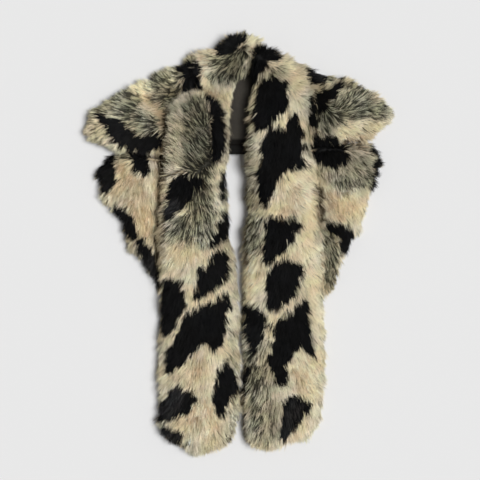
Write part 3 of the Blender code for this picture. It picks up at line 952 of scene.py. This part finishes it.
def roots_on(piece, pelt, tree, rng):
    """Places, normals and openness of the roots of a piece's wisps, where they can be seen."""
    points, faces, normals = pelt
    halves = np.vstack([faces[:, [0, 1, 2]], faces[:, [0, 2, 3]]])
    a, b, c = (points[halves[:, k]] for k in range(3))
    area = np.linalg.norm(np.cross(b - a, c - a), axis=1) / 2
    count = int(area.sum() / WISP_APART**2)
    chosen = rng.choice(len(halves), count, p=area / area.sum())
    u, v = rng.random(count), rng.random(count)
    over = u + v > 1
    u[over], v[over] = 1 - u[over], 1 - v[over]
    mix = np.stack([1 - u - v, u, v], axis=1)[:, :, None]
    where = (points[halves[chosen]] * mix).sum(1)
    out = unit((normals[halves[chosen]] * mix).sum(1))
    share = openness(tree, where, out)

    # Wisps rooted under a piece's edge reach out from below it.
    under = np.flatnonzero((share == 0) & (out[:, 2] > FACES_UP))
    nap, _ = nap_at(piece, to_view(where[under]))
    share[under] = openness(tree, where[under] + nap * UNDER_EDGE, out[under])
    if piece.node == "back_yoke":
        share[to_view(where)[:, 1] > YOKE_SHOWS] = 0
    seen = share > 0
    return where[seen], out[seen], share[seen]


def tones(piece, places, spread, draw, rank):
    """Each strand's row of LOOKS at a place in the view, by its wisp's spread and draws."""
    ragged = waves(places, *EDGE_WAVE) * 1.3 + spread
    black = inside(piece.black, places) + ragged + BLACK_GROWS
    kind = np.full(len(places), AS_CREAM)
    # The tan and brown strokes are the coat's own colour, except those marked as painted shade in valleys
    # and seams
    kind[ramp(inside(piece.tan, places) + 2.0 * ragged, -5, 5) > draw[:, 0]] = AS_TAN
    lined = ramp(inside(piece.striped, places) + 1.5 * ragged, -4, 3) > draw[:, 1]
    kind[lined & (draw[:, 2] < TIPPED_BELOW)] = AS_TIPPED
    kind[lined & (draw[:, 2] > BROWN_ABOVE)] = AS_BROWN
    kind[lined & (draw[:, 2] > SMOKE_ABOVE)] = AS_SMOKE
    browned = ramp(inside(piece.brown, places) + 0.6 * ragged, -2, 2) > draw[:, 3]
    kind[browned] = AS_BROWN
    greyed = ramp(inside(piece.grey, places) + 1.6 * ragged, -4, 3) > draw[:, 4]
    kind[greyed] = AS_SMOKE
    kind[greyed & (rank > 1 - LIGHT_SHARE)] = AS_TIPPED
    fringe = (black > -1.2) & (black <= 0.2)
    kind[fringe & (draw[:, 5] < FRINGE_SHARE)] = AS_BROWN
    kind[black > 0] = AS_BLACK
    faded = inside(FADED, places) + 2.0 * ragged
    kind[(black > 0) & (faded > 0) & (draw[:, 1] < FADED_SHARE)] = AS_CHARCOAL
    return kind


def wisps_of(piece, pelt, tree, rng):
    """A piece's wisps, and how each lies."""
    where, out, share = roots_on(piece, pelt, tree, rng)
    count = len(where)
    plan = where[:, :2]
    nap, firm = nap_at(piece, to_view(where))

    # The nap turns outward on a wall that faces against it, and stands where it changes.
    side = out.copy()
    side[:, 2] = 0
    facing = np.clip(-(nap * side).sum(1), 0, 1)
    turned = nap + WALL_TURN * facing[:, None] * side
    firm *= np.clip(1.6 * np.linalg.norm(turned, axis=1), 0, 1)
    nap = unit(turned)
    turn = TURN * waves(plan, *TURN_WAVE) + rng.normal(0, TURN_SPREAD, count)
    turn += TUFT_TURN * waves(plan, *TUFT_TURN_WAVE)
    cos, sin = np.cos(turn), np.sin(turn)
    x, y, z = nap.T
    nap = np.stack([x * cos - y * sin, x * sin + y * cos, z], axis=1)
    nap = unit(0.5 * over_edge(nap, out) + 0.5 * nap)

    lift = LIFT + LIFT_WAVES * waves(plan, *LIFT_WAVE) + rng.normal(0, LIFT_SPREAD, count)
    lean = nap * firm[:, None]
    late = unit(lean + out * np.maximum(lift, LIFT_LEAST)[:, None])
    early = unit(out + LEAN_EARLY * lean + rng.normal(0, EARLY_SPREAD, (count, 3)))
    rank = rng.random(count)  # the longest wisps lie on top
    long = STRAND_LONG * (1 + 0.10 * waves(plan, *LONG_WAVE)) * (0.72 + 0.36 * rank)
    long *= np.where(rng.random(count) < STRAY_SHARE, STRAY_LONG, 1.0)
    long *= (1 + TUFT_LONG * waves(plan, *TUFT_LONG_WAVE)) * (0.6 + 0.4 * firm)
    return Wisps(where, out, share, early, late, long, rank)


def fur_on(piece, pelt, tree, material):
    """The strands of a piece, as one mesh."""
    rng = np.random.default_rng([SEED, len(piece.node), piece.strands])
    wisps = wisps_of(piece, pelt, tree, rng)
    count = piece.strands
    of = rng.integers(0, len(wisps.where), count)

    # Strands start round their wisp's middle and lean to its tip, most where the coat turns down or is
    # grey or striped.
    view = to_view(wisps.where)
    gather = np.maximum(
        ramp(1 - wisps.out[:, 2], 0.03, 0.35), 0.8 * ramp(inside(piece.grey, view), -3, 3)
    )
    gather = np.maximum(gather, 0.8 * ramp(inside(piece.striped, view), -3, 3))[of][:, None]
    out, first, last = wisps.out[of], wisps.early[of], wisps.late[of]
    across = unit(np.cross(out, last))
    along = np.cross(across, out)
    spot = rng.normal(0, WISP_ROUND, (count, 2)) * (1 - 0.65 * gather)
    shift = across * spot[:, :1] + along * spot[:, 1:]
    reach = wisps.long[of] * rng.uniform(*LONG_RANGE, count)
    start = wisps.where[of] + shift - out * STRAND_ROOT
    own = unit(last + rng.normal(0, OWN_SPREAD, (count, 3)))
    middle = start + unit(0.8 * first + 0.45 * own) * (MIDDLE_AT * reach)[:, None]
    middle = middle - shift * (0.10 + 0.25 * gather)
    tip = middle + own * (TIP_AT * reach)[:, None] - shift * (0.35 + 0.27 * gather)
    for row in (middle, tip):
        row[:, 2] = np.maximum(row[:, 2], FLOOR_CLEAR + rng.random(count) * FLOOR_SPREAD)
    start[:, 2] = np.maximum(start[:, 2], FLOOR_CLEAR)

    # A strand is a flat blade: pointed at its root and its tip, and widest at its middle.
    twist = rng.normal(0, TWIST, count)[:, None]
    flat = unit(np.cross(tip - start, out))
    blade = unit(flat * np.cos(twist) + out * np.sin(twist))
    wide = STRAND_WIDE * rng.uniform(*WIDE_RANGE, count)[:, None]
    rows = np.empty((count, 4, 3))
    rows[:, 0] = start
    rows[:, 1] = middle + blade * wide * 0.5
    rows[:, 2] = middle - blade * wide * 0.5
    rows[:, 3] = tip
    rows = np.clip(rows, np.array(CAD_LOW) - PROUD, np.array(CAD_HIGH) + PROUD)
    rows[:, :, 2] = np.maximum(rows[:, :, 2], 0.5 * FLOOR_CLEAR)
    base = np.arange(count)[:, None] * 4
    faces = np.vstack([base + (0, 1, 2), base + (2, 1, 3)])

    # A strand has the coat's colour at the place where its upper half lies.
    shown = to_view(wisps.where[of] + shift + (middle - start) * 0.9 + (tip - middle) * 0.35)
    mesh = mesh_from("fur_" + piece.node, rows.reshape(-1, 3), faces)
    paint(mesh, strand_colours(piece, wisps, of, gather, shown, rng))
    return place("fur_" + piece.node, mesh, material)


def strand_colours(piece, wisps, of, gather, shown, rng):
    """The colours of the strands' points: each strand is of a wisp and shows at a place in the view."""
    count, total = len(of), len(wisps.where)
    plan = wisps.where[of][:, :2]
    uneven = rng.normal(0, 0.7, total)[of] + rng.normal(0, 0.6, count)
    draw = rng.random((total, 6))[of] + rng.normal(0, 0.04, (count, 6))
    pick = LOOKS[tones(piece, shown, uneven, draw, wisps.rank[of])]
    streak = STREAK + STREAK_UNEVEN * ramp(inside(UNEVEN, to_view(wisps.where)), -6, 6)
    bright = 1 + 0.07 * waves(plan, *LIGHT_WAVE) + (streak * rng.normal(0, 1, total))[of]
    # Painted shade: wisps that see little sky past the pelts are darker, down to SHADED.
    lit = (SHADED + (1 - SHADED) * ramp(wisps.share, 0.15, 0.85))[of]
    bright = (bright + rng.normal(0, 0.05, count)) * lit
    bright = np.maximum(bright, 0.1)[:, None] ** SHADE_TINT * gain_at(shown)
    warm = 1 + 0.08 * waves(plan, *WARM_WAVE)[:, None] * (-0.2, 0.2, 1.0)
    warm = warm + 0.05 * waves(plan, *TINT_WAVE)[:, None] * (0.5, -0.3, 0.4)
    colours = np.empty((count, 4, 3))
    colours[:, 0] = pick[:, 0] * bright * warm * (1 - ROOT_DARK * gather)
    colours[:, 1] = colours[:, 2] = pick[:, 1] * bright * warm * (1 - MIDDLE_DARK * gather)
    colours[:, 3] = pick[:, 2] * bright * warm
    return np.clip(colours.reshape(-1, 3), DARKEST, 1.0)


def pelt_object(piece, pelt, material):
    """The pelt as a thin closed shell, in its markings' colours."""
    points, faces, normals = pelt
    inner = points - normals * PELT_THICK
    inner[:, 2] = np.maximum(inner[:, 2], INNER_REST)
    both = np.vstack([points, inner])
    sides = np.vstack([faces, faces[:, ::-1] + len(points)])
    mesh = mesh_from("pelt_" + piece.node, both, sides)
    places = to_view(both)
    base = np.tile(np.array(CREAM.root), (len(both), 1))
    grey = ramp(inside(piece.grey, places), -2, 2)[:, None]
    black = ramp(inside(piece.black, places), -1, 1)[:, None]
    base = base * (1 - grey) + np.array(SMOKE.middle) * grey
    base = base * (1 - black) + np.array(BLACK.root) * black
    paint(mesh, base)
    return place("pelt_" + piece.node, mesh, material)


# ---------------------------------------------------------------- lining


def cloth_strip(name, solid, material, wrinkle):
    """A thin sheet in place of a node's solid, with soft troughs along Y."""
    low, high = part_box(solid)
    columns, rows = CLOTH_COLUMNS, CLOTH_ROWS
    co = np.array([v.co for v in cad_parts[solid].data.vertices])
    bands = np.unique(np.round(co[:, 0], 4))
    top = [co[np.abs(co[:, 0] - x) < 0.1 * MM, 1].max() for x in bands]
    points = []
    for i in range(columns + 1):
        x = low.x + (high.x - low.x) * i / columns
        upper = np.interp(x, bands, top)
        for j in range(rows + 1):
            points.append((x, low.y + (upper - low.y) * j / rows, high.z - CLOTH_SINK))
    points = np.array(points)
    lumps = waves(points[:, :2] * (1.0, 0.25), *TROUGH_WAVE)
    rim = np.minimum(np.abs(points[:, 0] - low.x), np.abs(high.x - points[:, 0]))
    points[:, 2] += wrinkle * (lumps * 0.5 + 0.5) * np.clip(rim / TROUGH_RIM, 0, 1)
    corners = np.array([i * (rows + 1) + j for i in range(columns) for j in range(rows)])
    faces = corners[:, None] + (0, rows + 1, rows + 2, 1)
    made = place(name, mesh_from(name, points, faces), material)
    thick = made.modifiers.new("thick", "SOLIDIFY")
    thick.thickness = CLOTH_THICK
    thick.offset = -1
    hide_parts(solid)
    return made


# ---------------------------------------------------------------- materials


def new_material(name, rough, gloss):
    """A material, its node tree and its shader."""
    made = bpy.data.materials.new(name)
    made.use_nodes = True
    shader = made.node_tree.nodes["Principled BSDF"]
    shader.inputs["Roughness"].default_value = rough
    shader.inputs["Specular IOR Level"].default_value = gloss
    return made, made.node_tree, shader


def node(tree, kind, **values):
    """A new node, with values for its inputs or its settings."""
    made = tree.nodes.new(kind)
    for key, value in values.items():
        if key in made.inputs:
            made.inputs[key].default_value = value
        else:
            setattr(made, key, value)
    return made


def scaled_colour(tree, shader, colour, level):
    """Feeds a colour to the shader, scaled by a level."""
    mix = node(tree, "ShaderNodeVectorMath", operation="SCALE")
    tree.links.new(colour, mix.inputs[0])
    tree.links.new(level.outputs["Result"], mix.inputs["Scale"])
    tree.links.new(mix.outputs["Vector"], shader.inputs["Base Color"])


def varied_colour(tree, shader, colour, scale, amount):
    """Feeds a colour to the shader with procedural light and dark over it."""
    place_of = node(tree, "ShaderNodeTexCoord")
    noise = node(tree, "ShaderNodeTexNoise", Scale=scale, Detail=4.0)
    tree.links.new(place_of.outputs["Object"], noise.inputs["Vector"])
    level = node(tree, "ShaderNodeMapRange", **{"To Min": 1 - amount, "To Max": 1 + amount})
    tree.links.new(noise.outputs["Fac"], level.inputs["Value"])
    scaled_colour(tree, shader, colour, level)
    return place_of


def fur_material():
    """The strands: their own colours, finely mottled."""
    made, tree, shader = new_material("fur", rough=0.62, gloss=0.12)
    pile = node(tree, "ShaderNodeAttribute", attribute_name="pile")
    varied_colour(tree, shader, pile.outputs["Color"], scale=220.0, amount=0.16)
    return made


def pelt_material():
    """The pelt between the strands: its own colours, mottled, over a fine bump."""
    made, tree, shader = new_material("pelt", rough=0.9, gloss=0.5)
    pile = node(tree, "ShaderNodeAttribute", attribute_name="pile")
    place_of = varied_colour(tree, shader, pile.outputs["Color"], scale=90.0, amount=0.35)
    cells = node(tree, "ShaderNodeTexVoronoi", Scale=700.0)
    tree.links.new(place_of.outputs["Object"], cells.inputs["Vector"])
    bump = node(tree, "ShaderNodeBump", Strength=0.5, Distance=0.0006)
    tree.links.new(cells.outputs["Distance"], bump.inputs["Height"])
    tree.links.new(bump.outputs["Normal"], shader.inputs["Normal"])
    return made


def woven_material(name, colour, rough, thread):
    """A fine weave: two crossed waves in its bump, and a mottled colour."""
    made, tree, shader = new_material(name, rough, CLOTH_GLOSS)
    base = node(tree, "ShaderNodeRGB")
    base.outputs[0].default_value = (*colour, 1.0)
    place_of = varied_colour(tree, shader, base.outputs[0], scale=60.0, amount=0.22)
    heights = []
    for direction in ("X", "Y"):
        wave = node(tree, "ShaderNodeTexWave", bands_direction=direction, Scale=thread)
        tree.links.new(place_of.outputs["Object"], wave.inputs["Vector"])
        heights.append(wave.outputs["Fac"])
    add = node(tree, "ShaderNodeMath", operation="ADD")
    tree.links.new(heights[0], add.inputs[0])
    tree.links.new(heights[1], add.inputs[1])
    bump = node(tree, "ShaderNodeBump", Strength=0.35, Distance=0.0003)
    tree.links.new(add.outputs[0], bump.inputs["Height"])
    tree.links.new(bump.outputs["Normal"], shader.inputs["Normal"])
    return made


def paint_hem_shadow(material, low, high):
    """Paints the hem tape's shadow on a cloth, darker towards its hem: full at the frame's y of low, none
    at that of high.
    """
    tree = material.node_tree
    shader = tree.nodes["Principled BSDF"]
    colour = shader.inputs["Base Color"].links[0].from_socket
    place_of = node(tree, "ShaderNodeTexCoord")
    split = node(tree, "ShaderNodeSeparateXYZ")
    tree.links.new(place_of.outputs["Object"], split.inputs[0])
    reach = {"From Min": low, "From Max": high, "To Min": HEM_SHADOW, "To Max": 1.0}
    level = node(tree, "ShaderNodeMapRange", **reach)
    tree.links.new(split.outputs["Y"], level.inputs["Value"])
    scaled_colour(tree, shader, colour, level)


# ---------------------------------------------------------------- stage


def build_stage():
    """A plain pale floor, soft light from above and a little from the right, and the camera overhead."""
    bpy.ops.mesh.primitive_plane_add(size=FLOOR_WIDE, location=(0, 0, -FLOOR_LOW))
    floor = bpy.context.active_object
    floor.name = "floor"
    paper, _, shader = new_material("paper", rough=0.9, gloss=0.1)
    shader.inputs["Base Color"].default_value = PAPER
    floor.data.materials.append(paper)

    scene = bpy.context.scene
    world = bpy.data.worlds.new("studio")
    scene.world = world
    world.use_nodes = True
    sky = world.node_tree.nodes["Background"]
    sky.inputs["Color"].default_value = (1.0, 1.0, 1.0, 1.0)
    sky.inputs["Strength"].default_value = SKY
    scene.view_settings.view_transform = "Standard"
    scene.view_settings.look = "None"

    key = bpy.data.lights.new("key", "SUN")
    key.energy = SUN
    key.angle = SUN_ROUND
    lamp = bpy.data.objects.new("key", key)
    lamp.rotation_mode = "QUATERNION"
    lamp.rotation_quaternion = (-SUN_FROM).to_track_quat("-Z", "Y")
    scene.collection.objects.link(lamp)

    view = bpy.data.cameras.new("camera")
    camera = bpy.data.objects.new("camera", view)
    scene.collection.objects.link(camera)
    x, y = from_view(VIEW_SIZE / 2, VIEW_SIZE / 2)
    camera.location = (x, y, CAMERA_HIGH)
    view.sensor_width = SENSOR_WIDE
    view.lens = view.sensor_width * (CAMERA_HIGH - AIM_HIGH) / (VIEW_SIZE * VIEW_UNIT)
    view.clip_end = 20.0
    scene.camera = camera


def main():
    build_stage()
    fur = fur_material()
    backing = pelt_material()
    pelts = {piece.node: pelt_of(piece) for piece in PIECES}

    # All the pelts as one tree, to see which wisps they hide
    points, faces = [], []
    total = 0
    for made, quads, _ in pelts.values():
        points.append(made)
        faces.append(quads + total)
        total += len(made)
    tree = BVHTree.FromPolygons(np.vstack(points).tolist(), np.vstack(faces).tolist())

    for piece in PIECES:
        shell = pelt_object(piece, pelts[piece.node], backing)
        strands = fur_on(piece, pelts[piece.node], tree, fur)
        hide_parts(piece.node)

    satin = woven_material("lining_satin", (0.050, 0.045, 0.038), rough=0.6, thread=520.0)
    # Painted shadow of the hem tape along the lining's lower edge
    paint_hem_shadow(satin, from_view(0, HEM_FULL)[1], from_view(0, HEM_NONE)[1])
    tape = woven_material("hem_tape", (0.012, 0.0115, 0.0105), rough=0.8, thread=300.0)
    lining = cloth_strip("lining_sheet", "lining", satin, wrinkle=2.2 * MM)
    hem = cloth_strip("hem_strip", "hem_tape", tape, wrinkle=0.4 * MM)


main()
